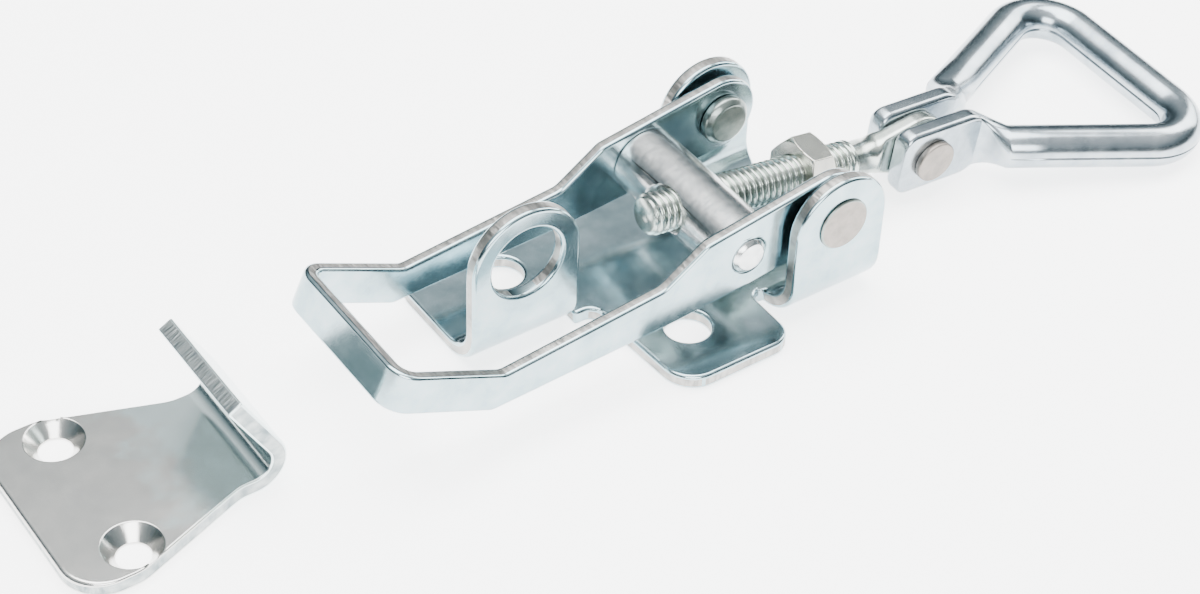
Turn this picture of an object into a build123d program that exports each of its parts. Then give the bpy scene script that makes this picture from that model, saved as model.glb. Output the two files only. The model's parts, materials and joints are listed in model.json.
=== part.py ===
from build123d import *
import os
from math import acos, asin, atan2, cos, degrees, hypot, radians, sin, tan

os.makedirs("parts", exist_ok=True)

# Over centre toggle latch with an adjustable bail, and the strike plate that the bail hooks behind.
# Lengths are in millimetres and angles in degrees. +X runs from the pivot towards the bail, +Y across
# the latch and +Z up from the mounting face. The origin is on the underside of the base plate,
# straight below the lever's pivot. The lever is down and the bail lies on the mounting face.

# Base plate: one folded sheet
sheet = 3.0
fold_radius = 5.6  # inside the folds of the ears and the tab
ear_face = 21.6  # outer faces of the ears, from the middle
ear_half_length = 10.0
ear_top = 29.4
floor_reach = 26.5  # long edges of the flat floor, from the middle
wing_length = 24.4
wing_taper = 1.6  # how much longer the near wing is at its root
floor_corner = 6.3  # at the end of the floor away from the ears
wing_corner = 4.3  # beside the ears
base_hole = 8.6
near_hole = (-27.5, -13.9)
far_hole = (-47.9, 16.3)
relief_width = 2.7
relief_corner = 2.0
strip_end = 65.3
tab_length = 22.2
tab_face = 2.0  # near face of the tab, from the middle
tab_top = 32.5
tab_hole = 14.5
tab_relief_edge = -0.5  # edge of the strip beside the tab, from the middle
tab_relief_corner = 2.5
tab_slit = 0.3  # lanced between the tab and the floor, up to the fold

# Lever: one strip on edge, bent to a long U
lever_sheet = 2.5
lever_half_width = 17.5
lever_corner = 4.8
cheek_radius = 7.8
pivot_height = 20.0
step_high = (-26.7, 23.6)  # top edge where the cheek starts to step down
step_low = (-35.8, 17.5)  # top edge where the low arm starts
arm_rise = 5.8  # slope of the low arm's top edge
belly = (-33.0, 9.0)  # bottom edge under the step
heel = (-71.4, 7.3)  # bottom edge where the grip starts to rise
grip_rise = 25.0
grip_length = 23.0
grip_height = 7.4
edge_blend = 3.0

# Pivot rivets, one through each ear and cheek
pivot_shank = 8.0
pivot_outer_head = 10.3
pivot_outer_height = 0.5
pivot_inner_head = 9.8
pivot_inner_height = 2.5
pivot_inner_chamfer = 1.0

# Trunnion: turned barrel with a pin at each end
trunnion_x = -17.5
trunnion_height = 17.4
barrel = 13.2
trunnion_pin = 7.0
pin_proud = 0.6
pin_chamfer = 0.8
mouth_width = 11.0  # countersinks where the rod enters and leaves

# Threaded rod, measured along its own axis from the trunnion
rod = 8.0
rod_droop = 9.0
roll = 2.0  # of the rod and bail about the rod, far side up
rod_tail = 10.7
thread_end = 38.8
thread_chamfer = 0.7
neck = 7.2
neck_end = 42.6
eye_thickness = 3.7
eye = 13.0
rivet_station = 53.8

# Lock nut
nut_flats = 12.7
nut_height = 5.6
nut_station = 23.4
nut_turn = 4.5  # of its flats from square to the rod's eye

# Bail: round wire with flattened, drilled ends
wire = 8.4
flat_thickness = 3.8
flat_height = 13.8
flat_tail = 7.4  # from the rivet back to the sheared end
flat_length = 11.2  # from the rivet to the shoulder
flat_corner = 2.6
shoulder_length = 4.6
bail_reach = 55.2  # from the rivet to the middle of the end bar
bail_half_width = 27.8  # to the corner where a leg's axis meets the end bar's
leg_start = 9.2  # from the middle to a leg's axis at its shoulder
bail_corner = 9.0
bail_shank = 6.5
bail_head = 8.5
bail_head_height = 1.4

# Strike plate
strike_end = -147.4
strike_middle = 6.0  # where the plate lies, across the latch's middle
strike_width = 40.6
strike_corner = 7.6
strike_straight = 11.4  # from the end to where the sides start to close in
strike_fold = -111.2
strike_fold_radius = 3.2
lip_width = 24.8
lip_lean = 29.0  # back from upright
lip_length = 14.1
neck_run = 3.0  # straight sides before the fold
neck_blend = 8.0
screw_hole = 6.0
screw_head = 10.6
screw_spacing = 28.9
screw_setback = 12.3

# Clearances
turn_clearance = 0.05  # radial, round a pin that turns
side_clearance = 0.1  # beside a face that turns

ear_inner = ear_face - sheet
fold_outer = fold_radius + sheet
fold_middle = fold_radius + sheet / 2
lever_inner = lever_half_width - lever_sheet


def touch_point(point, centre, radius, side):
    """Where a line from a point on the left touches a circle, at its top (side 1) or bottom (-1)."""
    across, up = point[0] - centre[0], point[1] - centre[1]
    angle = atan2(up, across) - side * acos(radius / hypot(across, up))
    return (centre[0] + radius * cos(angle), centre[1] + radius * sin(angle))


def crossing(point, slope, other_point, other_slope):
    """Where two lines cross, each given by a point on it and its slope."""
    rise = other_point[1] - point[1] + point[0] * slope - other_point[0] * other_slope
    x = rise / (slope - other_slope)
    return (x, point[1] + slope * (x - point[0]))


# ---- Base plate -------------------------------------------------------------------------------
floor_edge = ear_face - fold_outer
tab_edge = fold_outer - tab_face
wing_end = -ear_half_length - relief_width
wing_start = wing_end - wing_length
wing_root = wing_start - wing_taper
tab_end = tab_length - strip_end
tab_half = tab_length / 2
tab_middle = tab_end - tab_half
tab_eye_height = tab_top - tab_half
ear_round_height = ear_top - ear_half_length

with BuildPart() as base_plate:
    # The ears and the floor between them are one U of sheet
    with BuildSketch(Plane.YZ.offset(-ear_half_length)):
        with BuildLine():
            floor = Line((-floor_edge, sheet / 2), (floor_edge, sheet / 2))
            far_fold = JernArc(floor @ 1, (1, 0), fold_middle, 90)
            Line(far_fold @ 1, (ear_inner + sheet / 2, ear_top))
            near_fold = JernArc(floor @ 0, (-1, 0), fold_middle, -90)
            Line(near_fold @ 1, (-ear_inner - sheet / 2, ear_top))
        trace(line_width=sheet)
    extrude(amount=2 * ear_half_length)
    # The padlock tab is folded up from the near side of the strip
    with BuildSketch(Plane.YZ.offset(-strip_end)):
        with BuildLine():
            strip = Line((floor_reach, sheet / 2), (tab_edge, sheet / 2))
            tab_fold = JernArc(strip @ 1, (-1, 0), fold_middle, -90)
            Line(tab_fold @ 1, (sheet / 2 - tab_face, tab_top))
        trace(line_width=sheet)
    extrude(amount=tab_length)
    # Round tops, cut in side view through both ears and the tab
    with BuildSketch(Plane.XZ.offset(-floor_reach)):
        with Locations((0, ear_round_height)):
            Circle(ear_half_length)
            Rectangle(2 * ear_half_length, ear_round_height, align=(Align.CENTER, Align.MAX))
        with Locations((tab_middle, tab_eye_height)):
            Circle(tab_half)
            Rectangle(tab_length, tab_eye_height, align=(Align.CENTER, Align.MAX))
    extrude(amount=2 * floor_reach, mode=Mode.INTERSECT)
    # The rest of the floor in plan: straight along the far side, a wing on the near side
    with BuildSketch() as plan:
        with BuildLine():
            Polyline(
                (-ear_half_length, -floor_edge),
                (wing_end, -floor_edge),
                (wing_end, -floor_reach),
                (wing_start, -floor_reach),
                (wing_root, tab_relief_edge),
                (tab_end, tab_relief_edge),
                (tab_end, floor_reach),
                (wing_end, floor_reach),
                (wing_end, floor_edge),
                (-ear_half_length, floor_edge),
                close=True,
            )
        make_face()
        fillet(plan.vertices().sort_by_distance((wing_start, -floor_reach))[0], floor_corner)
        fillet(plan.vertices().sort_by_distance((wing_root, tab_relief_edge))[0], tab_relief_corner)
        for side in (-1, 1):
            fillet(plan.vertices().sort_by_distance((wing_end, side * floor_reach))[0], wing_corner)
            fillet(plan.vertices().sort_by_distance((wing_end, side * floor_edge))[0], relief_corner)
    extrude(amount=sheet)
    with BuildSketch():
        with Locations((tab_end, tab_relief_edge)):
            Rectangle(tab_slit, tab_edge - tab_relief_edge, align=Align.MIN)
    extrude(amount=sheet, mode=Mode.SUBTRACT)
    strip_corners = base_plate.edges().filter_by(Axis.Z).group_by(Axis.X)[0].sort_by(Axis.Y)
    fillet(strip_corners[-1], floor_corner)
    # Holes for the screws, the padlock and the pivot rivets
    with Locations(near_hole, far_hole):
        Hole(base_hole / 2)
    with BuildSketch(Plane.XZ.offset(-floor_reach)):
        with Locations((tab_middle, tab_eye_height)):
            Circle(tab_hole / 2)
        with Locations((0, pivot_height)):
            Circle(pivot_shank / 2)
    extrude(amount=2 * floor_reach, mode=Mode.SUBTRACT)
base_plate.part.label = "base_plate"
export_step(base_plate.part, "parts/base_plate.step")

# ---- Lever ------------------------------------------------------------------------------------
pivot = (0, pivot_height)
grip_out = (-cos(radians(grip_rise)), sin(radians(grip_rise)))
grip_up = (sin(radians(grip_rise)), cos(radians(grip_rise)))
arm_run = grip_length - lever_corner
grip_low = (heel[0] + arm_run * grip_out[0], heel[1] + arm_run * grip_out[1])
grip_high = (grip_low[0] + grip_height * grip_up[0], grip_low[1] + grip_height * grip_up[1])
knee = crossing(grip_high, -tan(radians(grip_rise)), step_low, tan(radians(arm_rise)))
cheek_top = touch_point(step_high, pivot, cheek_radius, 1)
cheek_bottom = touch_point(belly, pivot, cheek_radius, -1)
grip_plane = Plane(
    origin=(heel[0] + grip_length * grip_out[0], 0, heel[1] + grip_length * grip_out[1]),
    x_dir=(grip_out[0], 0, grip_out[1]),
    z_dir=(grip_up[0], 0, grip_up[1]),
)

with BuildPart() as lever:
    # One arm in side view, from the cheek to where the grip's corner starts
    with BuildSketch(Plane.XZ.offset(lever_inner)) as arm:
        with BuildLine():
            Polyline(
                cheek_bottom, belly, heel, grip_low, grip_high, knee, step_low, step_high, cheek_top
            )
            ThreePointArc(cheek_top, (cheek_radius, pivot_height), cheek_bottom)
        make_face()
        bends = arm.vertices().sort_by_distance((heel[0], heel[1]))
        fillet(bends[0], edge_blend)
        for bend in (belly, knee, step_low, step_high):
            fillet(arm.vertices().sort_by_distance(bend)[0], edge_blend)
        with Locations(pivot):
            Circle(pivot_shank / 2 + turn_clearance, mode=Mode.SUBTRACT)
        with Locations((trunnion_x, trunnion_height)):
            Circle(trunnion_pin / 2 + turn_clearance, mode=Mode.SUBTRACT)
    extrude(amount=lever_sheet)
    mirror(about=Plane.XZ)
    # The grip joins the arms, square to their rise
    with BuildSketch(grip_plane):
        with BuildLine():
            middle = lever_half_width - lever_sheet / 2
            FilletPolyline(
                (-2 * lever_corner, -middle),
                (-lever_sheet / 2, -middle),
                (-lever_sheet / 2, middle),
                (-2 * lever_corner, middle),
                radius=lever_corner - lever_sheet / 2,
            )
        trace(line_width=lever_sheet)
    extrude(amount=grip_height)
lever.part.label = "lever"
export_step(lever.part, "parts/lever.step")

# ---- Pivot rivets -----------------------------------------------------------------------------
inner_head_seat = lever_inner - side_clearance

for side, name in ((-1, "pivot_rivet_near"), (1, "pivot_rivet_far")):
    outward = Plane(origin=(0, 0, pivot_height), x_dir=(1, 0, 0), z_dir=(0, side, 0))
    with BuildPart() as pivot_rivet:
        with BuildSketch(outward.offset(inner_head_seat)):
            Circle(pivot_shank / 2)
        extrude(amount=ear_face - inner_head_seat)
        with BuildSketch(outward.offset(inner_head_seat - pivot_inner_height)):
            Circle(pivot_inner_head / 2)
        extrude(amount=pivot_inner_height)
        rims = pivot_rivet.edges().filter_by(GeomType.CIRCLE).sort_by(Axis.Y)
        chamfer(rims[0] if side > 0 else rims[-1], pivot_inner_chamfer)
        with BuildSketch(outward.offset(ear_face)):
            Circle(pivot_outer_head / 2)
        extrude(amount=pivot_outer_height)
    pivot_rivet.part.label = name
    export_step(pivot_rivet.part, f"parts/{name}.step")

# ---- Trunnion ---------------------------------------------------------------------------------
trunnion_centre = (trunnion_x, 0, trunnion_height)
trunnion_plane = Plane.XZ.shift_origin(trunnion_centre)
rod_way = (cos(radians(rod_droop)), 0, -sin(radians(rod_droop)))
across = Vector(0, 1, 0).rotate(Axis((0, 0, 0), rod_way), roll)
rod_plane = Plane(origin=trunnion_centre, x_dir=across, z_dir=rod_way)
rod_side = Plane(origin=trunnion_centre, x_dir=rod_way, z_dir=-across)
rod_axis = Axis(trunnion_centre, rod_way)
barrel_end = lever_inner - side_clearance
pin_end = lever_half_width + pin_proud

with BuildPart() as trunnion:
    # Turned from bar: a barrel with a pin at each end
    with BuildSketch(trunnion_plane):
        Circle(barrel / 2)
    extrude(amount=barrel_end, both=True)
    with BuildSketch(trunnion_plane):
        Circle(trunnion_pin / 2)
    extrude(amount=pin_end, both=True)
    ends = trunnion.edges().filter_by(GeomType.CIRCLE).group_by(Axis.Y)
    chamfer(ends[0] + ends[-1], pin_chamfer)
    # Drilled across for the rod, with a countersink at each mouth
    with BuildSketch(rod_plane):
        Circle(rod / 2 + turn_clearance)
    extrude(amount=barrel, both=True, mode=Mode.SUBTRACT)
    for end in (rod_axis.direction, -rod_axis.direction):
        with Locations(Plane(origin=Vector(*trunnion_centre) + end * barrel / 2, z_dir=end)):
            CounterSinkHole(rod / 2 + turn_clearance, mouth_width / 2, depth=barrel / 2)
trunnion.part.label = "trunnion"
export_step(trunnion.part, "parts/trunnion.step")

# ---- Threaded rod -----------------------------------------------------------------------------
with BuildPart() as threaded_rod:
    with BuildSketch(rod_plane.offset(-rod_tail)):
        Circle(rod / 2)
    extrude(amount=rod_tail + thread_end)
    thread_ends = threaded_rod.edges().filter_by(GeomType.CIRCLE)
    chamfer(thread_ends, thread_chamfer)
    with BuildSketch(rod_plane.offset(thread_end)):
        Circle(neck / 2)
    extrude(amount=neck_end - thread_end)
    # The eye is forged flat and widens from the neck to the rivet
    with BuildSketch(rod_side):
        with Locations((rivet_station, 0)):
            Circle(eye / 2)
        with Locations((neck_end, 0)):
            Circle(neck / 2)
        make_hull()
        with Locations((rivet_station, 0)):
            Circle(bail_shank / 2 + turn_clearance, mode=Mode.SUBTRACT)
    extrude(amount=eye_thickness / 2, both=True)
threaded_rod.part.label = "threaded_rod"
export_step(threaded_rod.part, "parts/threaded_rod.step")

# ---- Lock nut ---------------------------------------------------------------------------------
nut_corner = nut_flats / (2 * cos(radians(30)))
nut_bevel = (nut_corner - nut_flats / 2) * tan(radians(30))

with BuildPart() as lock_nut:
    with BuildSketch(rod_plane.offset(nut_station)):
        RegularPolygon(nut_flats / 2, 6, major_radius=False, rotation=nut_turn)
        Circle(rod / 2 + turn_clearance, mode=Mode.SUBTRACT)
    extrude(amount=nut_height)
    # Both faces are turned down to a bevel that takes the corners off
    with BuildSketch(rod_side):
        with BuildLine():
            Polyline(
                (nut_station, 0),
                (nut_station, nut_flats / 2),
                (nut_station + nut_bevel, nut_corner),
                (nut_station + nut_height - nut_bevel, nut_corner),
                (nut_station + nut_height, nut_flats / 2),
                (nut_station + nut_height, 0),
                close=True,
            )
        make_face()
    revolve(axis=rod_axis, mode=Mode.INTERSECT)
lock_nut.part.label = "lock_nut"
export_step(lock_nut.part, "parts/lock_nut.step")

# ---- Bail -------------------------------------------------------------------------------------
rivet_centre = rod_side.from_local_coords((rivet_station, 0, 0))
# The near end of the end bar lies on the mounting face
bar_lift = (bail_half_width - bail_corner / 2) * sin(radians(roll))
bail_droop = degrees(asin((rivet_centre.Z - wire / 2 - bar_lift) / bail_reach))
bail_way = Vector(*rod_way).rotate(Axis((0, 0, 0), across), bail_droop - rod_droop)
bail_side = Plane(origin=rivet_centre, x_dir=bail_way, z_dir=-across)
bail_plane = Plane(origin=rivet_centre, x_dir=bail_side.x_dir, z_dir=bail_side.y_dir)
flat_inner = eye_thickness / 2 + side_clearance
flat_outer = flat_inner + flat_thickness
leg_x = flat_length + shoulder_length

with BuildPart() as bail:
    # Legs and end bar: one round wire
    with BuildLine(bail_plane) as wire_path:
        FilletPolyline(
            (leg_x, -leg_start),
            (bail_reach, -bail_half_width),
            (bail_reach, bail_half_width),
            (leg_x, leg_start),
            radius=bail_corner,
        )
    with BuildSketch(Plane(origin=wire_path.wire() @ 0, z_dir=wire_path.wire() % 0)):
        Circle(wire / 2)
    sweep()
    # Near end: flattened, sheared off square and drilled for the rivet
    with BuildSketch(bail_side.offset(flat_inner)) as flat:
        with Locations((-flat_tail, 0)):
            Rectangle(flat_tail + flat_length, flat_height, align=(Align.MIN, Align.CENTER))
        tail = flat.vertices().group_by(Axis.X)[0]
        fillet(tail, flat_corner)
    extrude(amount=flat_thickness)
    # The shoulder spreads from the flat's section to the round leg
    flat_end = bail_plane.from_local_coords((flat_length, 0, 0))
    with BuildSketch(Plane(origin=flat_end, x_dir=bail_side.z_dir, z_dir=bail_side.x_dir)):
        with Locations((flat_inner + flat_thickness / 2, 0)):
            Rectangle(flat_thickness, flat_height)
    with BuildSketch(Plane(origin=wire_path.wire() @ 0, z_dir=wire_path.wire() % 0)):
        Circle(wire / 2)
    loft()
    mirror(about=bail_side)
    with BuildSketch(bail_side):
        Circle(bail_shank / 2 + turn_clearance)
    extrude(amount=flat_outer, both=True, mode=Mode.SUBTRACT)
bail.part.label = "bail"
export_step(bail.part, "parts/bail.step")

# ---- Bail rivet -------------------------------------------------------------------------------
with BuildPart() as bail_rivet:
    with BuildSketch(bail_side):
        Circle(bail_shank / 2)
    extrude(amount=flat_outer, both=True)
    for seat in (bail_side.offset(flat_outer), bail_side.offset(-flat_outer - bail_head_height)):
        with BuildSketch(seat):
            Circle(bail_head / 2)
        extrude(amount=bail_head_height)
bail_rivet.part.label = "bail_rivet"
export_step(bail_rivet.part, "parts/bail_rivet.step")

# ---- Strike plate -----------------------------------------------------------------------------
strike_side = Plane.XZ.offset(-strike_middle - lip_width / 2)
lip_turn = 90 + lip_lean
taper_end = strike_fold - neck_run

with BuildPart() as strike_plate:
    with BuildSketch(Plane.XY.shift_origin((0, strike_middle, 0))) as outline:
        with BuildLine():
            Polyline(
                (strike_end, -strike_width / 2),
                (strike_end + strike_straight, -strike_width / 2),
                (taper_end, -lip_width / 2),
                (strike_fold, -lip_width / 2),
                (strike_fold, lip_width / 2),
                (taper_end, lip_width / 2),
                (strike_end + strike_straight, strike_width / 2),
                (strike_end, strike_width / 2),
                close=True,
            )
        make_face()
        corners = outline.vertices().group_by(Axis.X)
        fillet(corners[0], strike_corner)
        for place in (strike_end + strike_straight, taper_end):
            fillet(outline.vertices().filter_by_position(Axis.X, place, place), neck_blend)
    extrude(amount=sheet)
    # The lip is folded up and back over the plate
    with BuildSketch(strike_side):
        with BuildLine():
            lip_fold = JernArc((strike_fold, sheet / 2), (1, 0), strike_fold_radius + sheet / 2, lip_turn)
            PolarLine(lip_fold @ 1, lip_length, direction=lip_fold % 1)
        trace(line_width=sheet)
    extrude(amount=lip_width)
    with Locations(
        (strike_end + screw_setback, strike_middle - screw_spacing / 2, sheet),
        (strike_end + screw_setback, strike_middle + screw_spacing / 2, sheet),
    ):
        CounterSinkHole(screw_hole / 2, screw_head / 2)
strike_plate.part.label = "strike_plate"
export_step(strike_plate.part, "parts/strike_plate.step")
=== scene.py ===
import json
from math import cos, pi, radians, sin, sqrt, tau

import bmesh
import bpy
from mathutils import Matrix, Vector


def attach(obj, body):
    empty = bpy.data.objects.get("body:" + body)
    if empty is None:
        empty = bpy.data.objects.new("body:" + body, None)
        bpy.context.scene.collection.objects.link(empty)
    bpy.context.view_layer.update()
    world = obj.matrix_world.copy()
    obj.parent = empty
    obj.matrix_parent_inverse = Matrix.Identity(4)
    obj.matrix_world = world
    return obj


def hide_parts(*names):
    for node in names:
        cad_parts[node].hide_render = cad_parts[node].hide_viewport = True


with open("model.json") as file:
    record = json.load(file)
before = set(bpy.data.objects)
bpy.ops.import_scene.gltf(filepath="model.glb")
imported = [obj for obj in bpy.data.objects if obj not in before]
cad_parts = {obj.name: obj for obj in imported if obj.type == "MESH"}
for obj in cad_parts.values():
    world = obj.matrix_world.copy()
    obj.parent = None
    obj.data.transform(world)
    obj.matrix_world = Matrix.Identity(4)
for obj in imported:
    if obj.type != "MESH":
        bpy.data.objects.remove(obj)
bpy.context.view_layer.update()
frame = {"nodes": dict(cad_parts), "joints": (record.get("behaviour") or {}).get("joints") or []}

# ---- Base plate -------------------------------------------------------------------------------
# One blank of 3 mm steel sheet, sheared and pierced, then folded up into two ears and a padlock
# tab, and zinc plated. The rolled faces are bright and the sheared edges are dull and grained.
mm = 0.001
sheet_edge_round = 0.7 * mm
floor_top = 3.1 * mm  # just over the sheet's upper face
far_edge = 26.3 * mm  # just inside the floor's long edges
round_top_start = 18.0 * mm  # the round tops of the ears and the tab lie above this
end_facing = 0.35  # the least that a cut end's normal turns along the latch
side_facing = 0.5  # the least that a cut side's turns across it
fold_facing = 0.1  # the most that a round top's turns across it
plain_patches = 140.0  # marks are counted in each metre
polish_marks = 420.0
wave_marks = 75.0
wave_depth = 1.2 * mm
grain_marks = 800.0
grain_depth = 0.2 * mm


def plated_zinc(name, light, dark, sheen, mottle, grain=0.025, streak=None,
                patch_marks=plain_patches, wave=0.12):
    """Zinc plate over steel: two greys in soft patches, uneven polish, slow waves and a fine grain.

    A streak draws the patches, polish and grain out one way.
    """
    material = bpy.data.materials.new(name)
    material.use_nodes = True
    nodes, links = material.node_tree.nodes, material.node_tree.links
    shader = nodes["Principled BSDF"]
    shader.inputs["Metallic"].default_value = 1.0
    place = nodes.new("ShaderNodeTexCoord")
    stretch = nodes.new("ShaderNodeMapping")
    stretch.inputs["Scale"].default_value = streak or (1.0, 1.0, 1.0)
    links.new(place.outputs["Object"], stretch.inputs["Vector"])

    patches = nodes.new("ShaderNodeTexNoise")
    patches.inputs["Scale"].default_value = patch_marks
    patches.inputs["Detail"].default_value = 5.0
    patches.inputs["Roughness"].default_value = 0.6
    links.new(stretch.outputs["Vector"], patches.inputs["Vector"])
    tint = nodes.new("ShaderNodeValToRGB")
    tint.color_ramp.elements[0].position = 0.5 - mottle / 2
    tint.color_ramp.elements[0].color = (*dark, 1.0)
    tint.color_ramp.elements[1].position = 0.5 + mottle / 2
    tint.color_ramp.elements[1].color = (*light, 1.0)
    links.new(patches.outputs["Fac"], tint.inputs["Fac"])
    links.new(tint.outputs["Color"], shader.inputs["Base Color"])

    polish = nodes.new("ShaderNodeTexNoise")
    polish.inputs["Scale"].default_value = polish_marks
    polish.inputs["Detail"].default_value = 4.0
    links.new(stretch.outputs["Vector"], polish.inputs["Vector"])
    spread = nodes.new("ShaderNodeMapRange")
    spread.inputs["To Min"].default_value = sheen[0]
    spread.inputs["To Max"].default_value = sheen[1]
    links.new(polish.outputs["Fac"], spread.inputs["Value"])
    links.new(spread.outputs["Result"], shader.inputs["Roughness"])

    ripple = nodes.new("ShaderNodeTexNoise")
    ripple.inputs["Scale"].default_value = wave_marks
    ripple.inputs["Detail"].default_value = 1.0
    links.new(place.outputs["Object"], ripple.inputs["Vector"])
    waves = nodes.new("ShaderNodeBump")
    waves.inputs["Strength"].default_value = wave
    waves.inputs["Distance"].default_value = wave_depth
    links.new(ripple.outputs["Fac"], waves.inputs["Height"])
    grit = nodes.new("ShaderNodeTexNoise")
    grit.inputs["Scale"].default_value = grain_marks
    grit.inputs["Detail"].default_value = 2.0
    links.new(stretch.outputs["Vector"], grit.inputs["Vector"])
    relief = nodes.new("ShaderNodeBump")
    relief.inputs["Strength"].default_value = grain
    relief.inputs["Distance"].default_value = grain_depth
    links.new(grit.outputs["Fac"], relief.inputs["Height"])
    links.new(waves.outputs["Normal"], relief.inputs["Normal"])
    links.new(relief.outputs["Normal"], shader.inputs["Normal"])
    return material


weld_gap = 0.004 * mm
flat_join = radians(0.6)
corner_turned = radians(32)  # the least that two faces turn at a corner to be rounded
evener_weight = 80


def softened(node, body, finishes, edge, segments=3, pick=None, ease=None):
    """The node's own form with its corners rounded over, as tumbling and plating leave them.

    pick gives the finish of a face, and ease the share of the rounding that a corner gets. The
    rounded strips take the first finish.
    """
    shape = frame["nodes"][node].data.copy()
    work = bmesh.new()
    work.from_mesh(shape)
    bmesh.ops.remove_doubles(work, verts=work.verts, dist=weld_gap)
    bmesh.ops.dissolve_limit(work, angle_limit=flat_join, verts=work.verts, edges=work.edges)
    share = work.edges.layers.float.new("bevel_weight_edge")
    for line in work.edges:
        if len(line.link_faces) == 2 and line.calc_face_angle() > corner_turned:
            line[share] = ease(line) if ease else 1.0
    for face in work.faces:
        face.smooth = True
        face.material_index = pick(face) if pick else 0
    shape.materials.clear()
    for finish in finishes:
        shape.materials.append(finish)
    work.to_mesh(shape)
    work.free()
    piece = bpy.data.objects.new(node + "_plated", shape)
    bpy.context.scene.collection.objects.link(piece)
    roundover = piece.modifiers.new("roundover", "BEVEL")
    roundover.width = edge
    roundover.segments = segments
    roundover.limit_method = "WEIGHT"
    roundover.use_clamp_overlap = False
    roundover.miter_outer = "MITER_ARC"
    roundover.material = 0
    evener = piece.modifiers.new("evener", "WEIGHTED_NORMAL")
    evener.keep_sharp = False
    evener.weight = evener_weight
    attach(piece, body)
    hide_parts(node)


rolled = plated_zinc("rolled_zinc", (0.44, 0.545, 0.58), (0.235, 0.34, 0.37), (0.12, 0.24),
                     mottle=0.5, wave=0.3)
sheared = plated_zinc("sheared_zinc", (0.48, 0.465, 0.435), (0.15, 0.152, 0.15), (0.26, 0.46),
                      mottle=0.5, grain=0.9, streak=(2.4, 0.4, 0.6), patch_marks=500.0)


def base_edge(face):
    """1 on the sheared edges of the folded blank, 0 on its rolled faces."""
    normal, middle = face.normal, face.calc_center_median()
    cut_end = abs(normal.x) > end_facing
    cut_side = abs(normal.y) > side_facing and middle.z < floor_top and abs(middle.y) > far_edge
    cut_top = abs(normal.y) < fold_facing and middle.z > round_top_start
    return int(cut_end or cut_side or cut_top)


softened("base_plate", "base", (rolled, sheared), sheet_edge_round, pick=base_edge)

# ---- Pivot rivets -----------------------------------------------------------------------------
# A short 8 mm steel rivet through each ear and cheek. The outer head is pressed almost flush with
# the ear, with a dull, worked face, and the inner head stands proud inside the lever.
head_round = 0.3 * mm
cheek_line = 17.5 * mm  # the lever's outer faces, from the middle
headed = plated_zinc("headed_zinc", (0.30, 0.265, 0.235), (0.19, 0.175, 0.16), (0.34, 0.50),
                     mottle=0.5, grain=0.3, patch_marks=500.0)
dulled = plated_zinc("dulled_zinc", (0.30, 0.34, 0.32), (0.16, 0.19, 0.18), (0.24, 0.38),
                     mottle=0.5, grain=0.2, patch_marks=400.0)


def outer_head(face):
    """1 on the head pressed into the ear, 0 on the one inside the lever."""
    return int(abs(face.calc_center_median().y) > cheek_line)


for rivet in ("pivot_rivet_near", "pivot_rivet_far"):
    softened(rivet, "base", (dulled, headed), head_round, pick=outer_head)

# ---- Lever ------------------------------------------------------------------------------------
# One strip of 2.5 mm sheet on edge, pierced, blanked with a step in it and bent round to a long
# U. Its cut edges face up and down and its rolled faces face sideways.
lever_edge_round = 0.65 * mm
heel = -72.0 * mm  # the grip lies past this
grip_rise = radians(25)
grip_facing = 0.7  # the least that a cut edge's normal turns square to the grip
arm_facing = 0.3  # the most that a cut edge's normal turns sideways


def lever_edge(face):
    """1 on the strip's cut edges, 0 on its rolled faces."""
    normal = face.normal
    square_to_grip = normal.x * sin(grip_rise) + normal.z * cos(grip_rise)
    if face.calc_center_median().x < heel:
        return int(abs(square_to_grip) > grip_facing)
    return int(abs(normal.y) < arm_facing)


softened("lever", "lever", (rolled, sheared), lever_edge_round, pick=lever_edge)

# ---- Trunnion ---------------------------------------------------------------------------------
# A turned steel barrel with a pin at each end that turns in the lever's arms, drilled and tapped
# across for the rod, with a countersink at each mouth.
barrel_round = 0.2 * mm
turned = plated_zinc("turned_zinc", (0.74, 0.75, 0.74), (0.46, 0.48, 0.49), (0.18, 0.28),
                     mottle=0.4, grain=0.03, streak=(0.9, 1.2, 0.9), patch_marks=520.0, wave=0.04)
softened("trunnion", "trunnion", (turned,), barrel_round)

# ---- Threaded rod -----------------------------------------------------------------------------
# Cold headed steel rod: a rolled thread of 1.41 mm pitch, a plain neck and a flat forged eye for
# the bail's rivet. The thread screws through the trunnion to set how far the bail reaches.
joints = {joint["name"]: joint for joint in frame["joints"]}
rod_start = Vector(joints["trunnion_turn"]["pos_m"])
rivet_centre = Vector(joints["bail_swing"]["pos_m"])
rod_way = (rivet_centre - rod_start).normalized()
across = -Vector(joints["bail_swing"]["axis"]).normalized()
rod_up = rod_way.cross(across)
rod_radius = 4.0 * mm
rod_tail = 10.7 * mm  # behind the trunnion's middle
thread_end = 36.6 * mm  # from the trunnion's middle, as the neck's and the eye's ends are
neck_radius = 3.45 * mm
neck_end = 42.6 * mm
eye_end = 60.2 * mm
eye_half_thickness = 1.83 * mm
eye_radius = 6.45 * mm
thread_pitch = 1.41 * mm
thread_depth = 0.80 * mm
thread_round = 1.5  # above 1, the crests are wider than the grooves
run_out_turns = 1.6  # over which the groove fades away
run_out_step = 0.15 * mm
end_bevel = 0.9 * mm
forge_start = 0.8 * mm  # before the neck's end
forge_length = 3.2 * mm
forge_corner = 4  # how far the forged section goes from round to square
eye_tip = 0.5 * mm  # half the height that the eye ends with
eye_round_start = 1.8 * mm  # before the rivet
eye_widening = 1.12  # above 1, the eye reaches its full height before the rivet
points_around = 72
steps_per_turn = 14
eye_rings = 40


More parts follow.
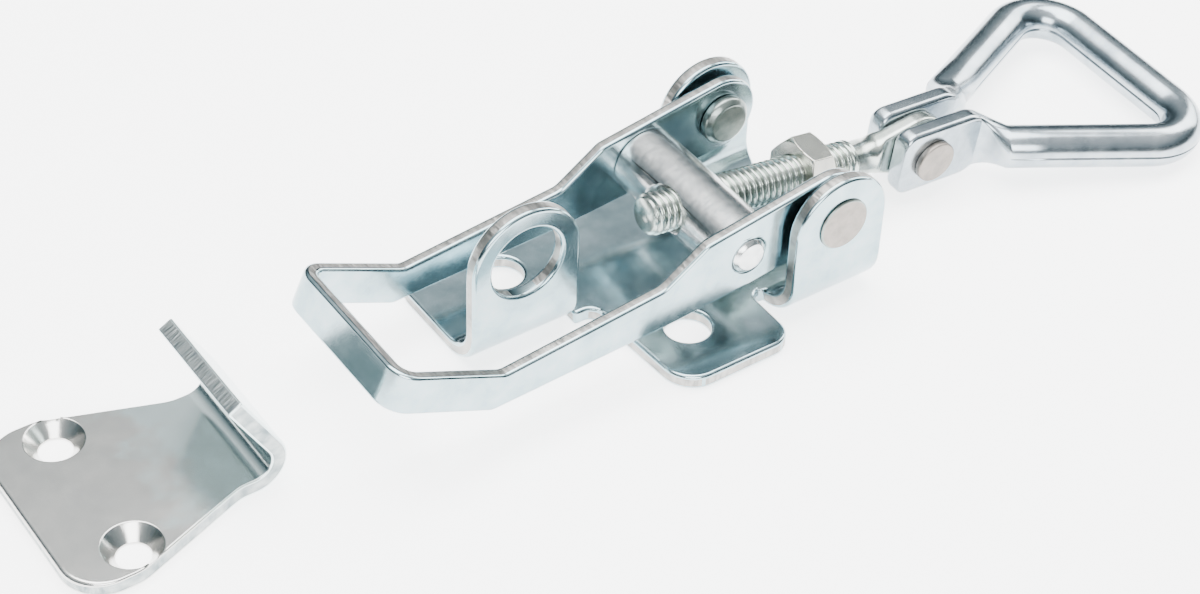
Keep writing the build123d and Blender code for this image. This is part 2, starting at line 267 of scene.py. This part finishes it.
def skin(work, rings):
    """Faces between rings of points in order, and a cap on each end."""
    made = [[work.verts.new(point) for point in ring] for ring in rings]
    for back, front in zip(made, made[1:]):
        for i in range(len(back)):
            j = (i + 1) % len(back)
            work.faces.new((back[i], back[j], front[j], front[i]))
    work.faces.new(made[0][::-1])
    work.faces.new(made[-1])


def finished(name, work, body, finish, nodes):
    """A piece from mesh work that is done, on its body and in place of its nodes."""
    bmesh.ops.recalc_face_normals(work, faces=work.faces)
    for face in work.faces:
        face.smooth = True
    shape = bpy.data.meshes.new(name)
    work.to_mesh(shape)
    work.free()
    shape.materials.append(finish)
    piece = bpy.data.objects.new(name, shape)
    bpy.context.scene.collection.objects.link(piece)
    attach(piece, body)
    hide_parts(*nodes)


def eased(part):
    """A share from 0 to 1 that leaves and arrives gently."""
    part = min(1.0, max(0.0, part))
    return part * part * (3 - 2 * part)


def thread_radius(station, turn):
    """The rod's radius at a station along it and a turn round it, in parts of a turn."""
    phase = (station / thread_pitch - turn) % 1.0
    groove = (0.5 - 0.5 * cos(tau * phase)) ** thread_round
    run_out = min(1.0, max(0.0, (thread_end - station) / (run_out_turns * thread_pitch)))
    radius = rod_radius - thread_depth * groove * run_out
    from_end = station + rod_tail
    return min(radius, rod_radius - end_bevel + from_end)


# The thread, one ring of points for each small step along it
rod_rings = []
rod_steps = int((rod_tail + thread_end) / thread_pitch * steps_per_turn)
for step in range(rod_steps + 1):
    station = -rod_tail + (rod_tail + thread_end) * step / rod_steps
    ring = []
    for i in range(points_around):
        angle = tau * i / points_around
        reach = thread_radius(station, i / points_around)
        ring.append(
            rod_start + rod_way * station + across * reach * cos(angle) + rod_up * reach * sin(angle)
        )
    rod_rings.append(ring)

# The plain neck, then the eye, forged flat and wider towards the rivet
rivet_station = (rivet_centre - rod_start).length
eye_stations = [neck_end + (eye_end - neck_end) * k / eye_rings for k in range(eye_rings + 1)]
for station in [thread_end + run_out_step, neck_end - forge_start] + eye_stations:
    forged = eased((station - neck_end + forge_start) / forge_length)
    half_thickness = neck_radius + (eye_half_thickness - neck_radius) * forged
    if station < rivet_station - eye_round_start:
        along = max(0.0, (station - neck_end) / (rivet_station - neck_end))
        half_height = neck_radius + (eye_radius - neck_radius) * min(1.0, along * eye_widening)
    else:
        half_height = sqrt(max(eye_tip**2, eye_radius**2 - (station - rivet_station) ** 2))
    square = 2 + forge_corner * forged
    ring = []
    for i in range(points_around):
        angle = tau * i / points_around
        size = (abs(cos(angle)) ** square + abs(sin(angle)) ** square) ** (-1 / square)
        ring.append(
            rod_start
            + rod_way * station
            + across * half_thickness * size * cos(angle)
            + rod_up * half_height * size * sin(angle)
        )
    rod_rings.append(ring)
rod_work = bmesh.new()
skin(rod_work, rod_rings)
thread_zinc = plated_zinc("thread_zinc", (0.58, 0.62, 0.58), (0.36, 0.41, 0.38), (0.18, 0.30),
                          mottle=0.3, grain=0.02)
finished("threaded_rod_plated", rod_work, "rod", thread_zinc, ["threaded_rod"])

# ---- Lock nut ---------------------------------------------------------------------------------
# A thin hexagon nut, cut from bar and tapped, with both faces turned to a bevel. It runs along
# the thread by hand or spanner, and locks the rod against the trunnion.
nut_round = 0.12 * mm
nut_zinc = plated_zinc("nut_zinc", (0.66, 0.65, 0.59), (0.50, 0.50, 0.46), (0.18, 0.26),
                       mottle=0.3, grain=0.01, wave=0.03)
softened("lock_nut", "nut", (nut_zinc,), nut_round, segments=2)

# ---- Bail -------------------------------------------------------------------------------------
# Round 8.4 mm wire bent to a triangle. Each end is forged flat, sheared off square and drilled,
# and the flat spreads from the round through a short sloped shoulder.
wire_radius = 4.19 * mm
bail_droop = radians(4.125)
rod_droop = radians(9)
bail_way = Matrix.Rotation(bail_droop - rod_droop, 3, across) @ rod_way
bail_up = bail_way.cross(across)
flat_inner = 1.95 * mm  # from the middle to a flat's inner face
flat_half_thickness = 1.9 * mm
flat_middle = flat_inner + flat_half_thickness
flat_half_height = 6.9 * mm
flat_tail = -7.4 * mm  # the sheared end, from the rivet
flat_length = 11.2 * mm  # from the rivet to the shoulder
fall_start = 8.2 * mm  # where the flat starts to narrow to the wire
fall_ring_gap = 0.2 * mm
shoulder_end = 15.8 * mm
shoulder_lead = 0.25  # how steeply the shoulder leaves the flat, from 0 to 1
flat_corner = 2.6 * mm
flat_rim = 1.1 * mm
tail_rim = 0.6 * mm
leg_start = 9.2 * mm  # from the middle to a leg's axis at its shoulder
bail_reach = 55.2 * mm  # from the rivet to the end bar's axis
bail_half_width = 27.8 * mm  # to the corner where a leg's axis meets the end bar's
bail_corner = 9.0 * mm
section_points = 16
rim_rings = 6
corner_rings = 8
fall_rings = 4
shoulder_rings = 12
leg_rings = 4
bend_rings = 28


def wire_section(along, side, facing, half_thickness, half_height, rim):
    """A rounded oblong across the wire; facing is the way its thickness runs."""
    points = []
    for corner in range(4):
        across_sign = (1, -1, -1, 1)[corner]
        up_sign = (1, 1, -1, -1)[corner]
        for k in range(section_points):
            angle = pi / 2 * (corner + k / (section_points - 1))
            thick = across_sign * (half_thickness - rim) + rim * cos(angle)
            high = up_sign * (half_height - rim) + rim * sin(angle)
            points.append(
                rivet_centre + bail_way * along + across * side + facing * thick + bail_up * high
            )
    return points


def end_height(past):
    """The flat's half height at a distance past its sheared end, where its corners are round."""
    corner_drop = flat_corner**2 - (flat_corner - past) ** 2
    return flat_half_height - flat_corner + sqrt(max(0, corner_drop))


def forged_height(along):
    """The forging's half height, which starts to fall to the round wire before the shoulder."""
    fallen = eased((along - fall_start) / (shoulder_end - fall_start))
    return flat_half_height + (wire_radius - flat_half_height) * fallen


# One half of the wire: for each ring its place along and to the side, its heading, half its
# thickness, half its height and the radius of its rim
half_path = []

# The sheared end, with its rim rounded over, and the flat's two round corners
for k in range(rim_rings + 1):
    angle = pi / 2 * k / rim_rings
    past = tail_rim * (1 - cos(angle))
    inset = tail_rim * (1 - sin(angle))
    half_path.append((flat_tail + past, flat_middle, 0.0,
                      flat_half_thickness - inset, end_height(past) - inset, flat_rim - inset))
for k in range(1, corner_rings + 1):
    past = tail_rim + (flat_corner - tail_rim) * k / corner_rings
    half_path.append((flat_tail + past, flat_middle, 0.0,
                      flat_half_thickness, end_height(past), flat_rim))

# The flat, up to the shoulder
for k in range(fall_rings + 1):
    along = fall_start + (flat_length - fall_ring_gap - fall_start) * k / fall_rings
    half_path.append((along, flat_middle, 0.0,
                      flat_half_thickness, forged_height(along), flat_rim))

# The shoulder, from the flat out to the round leg
leg_way = Vector((bail_reach - shoulder_end, bail_half_width - leg_start)).normalized()
leg_lean = Vector((1, 0)).angle(leg_way)
for k in range(shoulder_rings + 1):
    part = k / shoulder_rings
    rounded = eased(part)
    along = flat_length + (shoulder_end - flat_length) * part
    sideways = shoulder_lead * part + (1 - shoulder_lead) * part * part
    half_path.append((along, flat_middle + (leg_start - flat_middle) * sideways, leg_lean * rounded,
                      flat_half_thickness + (wire_radius - flat_half_thickness) * rounded,
                      forged_height(along),
                      flat_rim + (wire_radius - flat_rim) * rounded))

# The straight leg, the bend and half of the end bar
corner_turn = Vector((0, -1)).angle(leg_way)
corner_cut = bail_corner * sin(corner_turn / 2) / cos(corner_turn / 2)
bend_start = Vector((bail_reach, bail_half_width)) - leg_way * corner_cut
bend_centre = bend_start + Vector((leg_way.y, -leg_way.x)) * bail_corner
for k in range(1, leg_rings + 1):
    spot = Vector((shoulder_end, leg_start)).lerp(bend_start, k / leg_rings)
    half_path.append((spot.x, spot.y, leg_lean, wire_radius, wire_radius, wire_radius))
for k in range(1, bend_rings + 1):
    turn = corner_turn * k / bend_rings
    spot = bend_centre + Matrix.Rotation(-turn, 2) @ (bend_start - bend_centre)
    half_path.append((spot.x, spot.y, leg_lean - turn, wire_radius, wire_radius, wire_radius))
for k in range(1, leg_rings):
    half_bar = bail_half_width - corner_cut
    half_path.append((bail_reach, half_bar * (1 - k / leg_rings), leg_lean - corner_turn,
                      wire_radius, wire_radius, wire_radius))

bail_rings = []
for side_sign, path in ((-1, half_path), (1, half_path[::-1])):
    for along, side, heading, thick, high, rim in path:
        facing = across * side_sign * cos(heading) - bail_way * sin(heading)
        bail_rings.append(wire_section(along, side_sign * side, facing, thick, high, rim))
bail_work = bmesh.new()
skin(bail_work, bail_rings)
wire_zinc = plated_zinc("wire_zinc", (0.46, 0.51, 0.545), (0.26, 0.31, 0.345), (0.15, 0.28),
                        mottle=0.4, grain=0.03)
finished("bail_plated", bail_work, "bail", wire_zinc, ["bail"])

# ---- Bail rivet -------------------------------------------------------------------------------
# A 6.5 mm steel rivet through both flats of the bail and the rod's eye, with a low round head
# closed on each side. The bail swings on it.
softened("bail_rivet", "bail", (headed,), head_round)

# ---- Strike plate -----------------------------------------------------------------------------
# The keeper that the bail hooks behind: 3 mm sheet, its narrow end folded up and back to a lip,
# its wide end held by two countersunk screws. The plating is satin, with a painted teal reflection
# that grows towards the fold.
screw_holes = (Vector((-135.1, 20.45)) * mm, Vector((-135.1, -8.45)) * mm)
screw_rim = 5.4 * mm  # just past a countersink's edge
strike_round = 0.9 * mm
side_share = 0.4  # of that rounding, along the plate's sides
hole_share = 0.16  # and round its screw holes
strike_end = -147.4 * mm
end_corner = 7.6 * mm  # over which the rounding falls from whole to the sides' share
end_cut = -140.0 * mm  # the sheared end lies past this
lip_cut = 19.0 * mm  # the lip's sheared edge lies above this
cut_side_facing = 0.3  # the least that a cut side's normal turns across the latch
cut_end_facing = 0.1  # the most that a cut end's turns up or down
cut_lip_facing = 0.5  # the least that the lip's cut edge's turns up
fold_reflection_start = -112.0 * mm  # the painted teal reflection grows between these, less what the clouds add
fold_reflection_end = -104.0 * mm
fold_reflection_marks = 160.0
fold_reflection_wander = 30.0 * mm
# the colour of the painted teal reflection at the fold
fold_reflection_colour = (0.66, 0.76, 0.76, 1.0)
satin = plated_zinc("satin_zinc", (0.66, 0.65, 0.62), (0.56, 0.56, 0.545), (0.17, 0.24),
                    mottle=0.5, grain=0.02)
satin_nodes, satin_links = satin.node_tree.nodes, satin.node_tree.links
satin_shader = satin_nodes["Principled BSDF"]
plain_tint = satin_shader.inputs["Base Color"].links[0].from_socket
# A painted teal reflection, mixed over the satin's own colour towards the fold in uneven clouds
fold_reflection_place = satin_nodes.new("ShaderNodeTexCoord")
fold_reflection_split = satin_nodes.new("ShaderNodeSeparateXYZ")
fold_reflection_clouds = satin_nodes.new("ShaderNodeTexNoise")
fold_reflection_clouds.inputs["Scale"].default_value = fold_reflection_marks
fold_reflection_clouds.inputs["Detail"].default_value = 4.0
reflection_cloud_reach = satin_nodes.new("ShaderNodeMath")
reflection_cloud_reach.operation = "MULTIPLY_ADD"
reflection_cloud_reach.inputs[1].default_value = fold_reflection_wander
to_fold_reflection = satin_nodes.new("ShaderNodeMapRange")
to_fold_reflection.inputs["From Min"].default_value = fold_reflection_start
to_fold_reflection.inputs["From Max"].default_value = fold_reflection_end
fold_reflection_mix = satin_nodes.new("ShaderNodeMix")
fold_reflection_mix.data_type = "RGBA"
fold_reflection_mix.inputs["B"].default_value = fold_reflection_colour
satin_links.new(fold_reflection_place.outputs["Object"], fold_reflection_split.inputs["Vector"])
satin_links.new(fold_reflection_place.outputs["Object"], fold_reflection_clouds.inputs["Vector"])
satin_links.new(fold_reflection_clouds.outputs["Fac"], reflection_cloud_reach.inputs[0])
satin_links.new(fold_reflection_split.outputs["X"], reflection_cloud_reach.inputs[2])
satin_links.new(reflection_cloud_reach.outputs["Value"], to_fold_reflection.inputs["Value"])
satin_links.new(to_fold_reflection.outputs["Result"], fold_reflection_mix.inputs["Factor"])
satin_links.new(plain_tint, fold_reflection_mix.inputs["A"])
satin_links.new(fold_reflection_mix.outputs["Result"], satin_shader.inputs["Base Color"])
sheared_across = plated_zinc("sheared_across_zinc", (0.50, 0.53, 0.52), (0.11, 0.15, 0.165),
                             (0.26, 0.44), mottle=0.5, grain=0.9, streak=(0.4, 2.2, 0.6),
                             patch_marks=700.0)


def near_hole(place):
    """Whether a place lies in a screw hole or its countersink."""
    return min((place.xy - hole).length for hole in screw_holes) < screw_rim


def strike_edge(face):
    """1 on the sheared edges of the plate and its lip, 0 elsewhere."""
    normal, middle = face.normal, face.calc_center_median()
    cut_side = abs(normal.y) > cut_side_facing
    cut_end = abs(normal.z) < cut_end_facing and middle.x < end_cut
    cut_lip = normal.z > cut_lip_facing and middle.z > lip_cut and normal.x < 0
    return int(not near_hole(middle) and (cut_side or cut_end or cut_lip))


def strike_corner(line):
    """1 at the plate's end, less along the sides, and least round the screw holes close to them."""
    middle = (line.verts[0].co + line.verts[1].co) / 2
    if near_hole(middle):
        return hole_share
    past = min(1.0, (middle.x - strike_end) / end_corner)
    return 1.0 + (side_share - 1.0) * past


softened("strike_plate", "base", (satin, sheared_across), strike_round, segments=4,
         pick=strike_edge, ease=strike_corner)

# ---- Studio -----------------------------------------------------------------------------------
# A wide pale floor, even in brightness, three soft lights, and a room that is bright overhead and
# dark low down, for the plating to reflect. A long lens looks down from the grip's near side.
floor_half_width = 4.0
floor_drop = 0.05 * mm  # keeps the floor clear of the mounting faces
floor_glow = 3.0
room_glow = 1.6
under_pivot = Vector((0.0, 0.0, 0.0))
floor_shape = bpy.data.meshes.new("floor")
floor_work = bmesh.new()
bmesh.ops.create_grid(floor_work, x_segments=1, y_segments=1, size=floor_half_width)
floor_work.to_mesh(floor_shape)
floor_work.free()
floor_paint = bpy.data.materials.new("floor_paint")
floor_paint.use_nodes = True
floor_shader = floor_paint.node_tree.nodes["Principled BSDF"]
floor_shader.inputs["Base Color"].default_value = (0.93, 0.93, 0.93, 1.0)
floor_shader.inputs["Roughness"].default_value = 0.9
floor_shader.inputs["Specular IOR Level"].default_value = 0.1
floor_shader.inputs["Emission Color"].default_value = (1.0, 1.0, 1.0, 1.0)
floor_shader.inputs["Emission Strength"].default_value = floor_glow
floor_paint.cycles.emission_sampling = "NONE"
floor_shape.materials.append(floor_paint)
floor = bpy.data.objects.new("floor", floor_shape)
floor.location.z = -floor_drop
bpy.context.scene.collection.objects.link(floor)

room = bpy.data.worlds.new("room")
bpy.context.scene.world = room
room.use_nodes = True
room_nodes, room_links = room.node_tree.nodes, room.node_tree.links
sky_place = room_nodes.new("ShaderNodeTexCoord")
sky_split = room_nodes.new("ShaderNodeSeparateXYZ")
sky_ramp = room_nodes.new("ShaderNodeValToRGB")
room_links.new(sky_place.outputs["Generated"], sky_split.inputs["Vector"])
room_links.new(sky_split.outputs["Z"], sky_ramp.inputs["Fac"])
room_links.new(sky_ramp.outputs["Color"], room_nodes["Background"].inputs["Color"])
sky_ramp.color_ramp.elements[0].position = 0.0
sky_ramp.color_ramp.elements[0].color = (0.01, 0.03, 0.035, 1.0)
sky_ramp.color_ramp.elements[1].position = 1.0
sky_ramp.color_ramp.elements[1].color = (1.0, 1.0, 1.0, 1.0)
room_bands = (
    (0.25, (0.02, 0.045, 0.055)),
    (0.5, (0.24, 0.29, 0.31)),
    (0.72, (0.60, 0.63, 0.64)),
)
for height, shade in room_bands:
    sky_ramp.color_ramp.elements.new(height).color = (*shade, 1.0)
room_nodes["Background"].inputs["Strength"].default_value = room_glow


def soft_light(name, place, width, height, power, tint=(1.0, 1.0, 1.0)):
    """A rectangular soft box at a place, facing the latch."""
    lamp = bpy.data.lights.new(name, "AREA")
    lamp.shape = "RECTANGLE"
    lamp.size = width
    lamp.size_y = height
    lamp.energy = power
    lamp.color = tint
    box = bpy.data.objects.new(name, lamp)
    box.location = place
    box.rotation_euler = (under_pivot - Vector(place)).to_track_quat("-Z", "Y").to_euler()
    bpy.context.scene.collection.objects.link(box)


soft_light("overhead_box", (0.0, 0.15, 0.9), width=1.0, height=0.7, power=24.0)
soft_light("front_box", (-0.5, -0.8, 0.55), width=0.8, height=0.5, power=14.0)
soft_light("right_box", (0.9, 0.1, 0.5), width=0.5, height=0.8, power=12.0, tint=(1.0, 0.99, 0.97))

camera_place = Vector((-0.24620, -0.28683, 0.31833))
camera_right = Vector((0.8240, -0.5658, 0.0319))
camera_up = Vector((0.3558, 0.5604, 0.7479))
lens = bpy.data.cameras.new("camera")
lens.lens = 78.71
lens.sensor_width = 36.0
lens.sensor_fit = "HORIZONTAL"
lens.clip_start = 0.01
camera = bpy.data.objects.new("camera", lens)
camera_right.normalize()
camera_back = camera_right.cross(camera_up).normalized()
camera_up = camera_back.cross(camera_right)
camera.matrix_world = Matrix.Translation(camera_place) @ Matrix(
    (camera_right, camera_up, camera_back)).transposed().to_4x4()
bpy.context.scene.collection.objects.link(camera)
bpy.context.scene.camera = camera
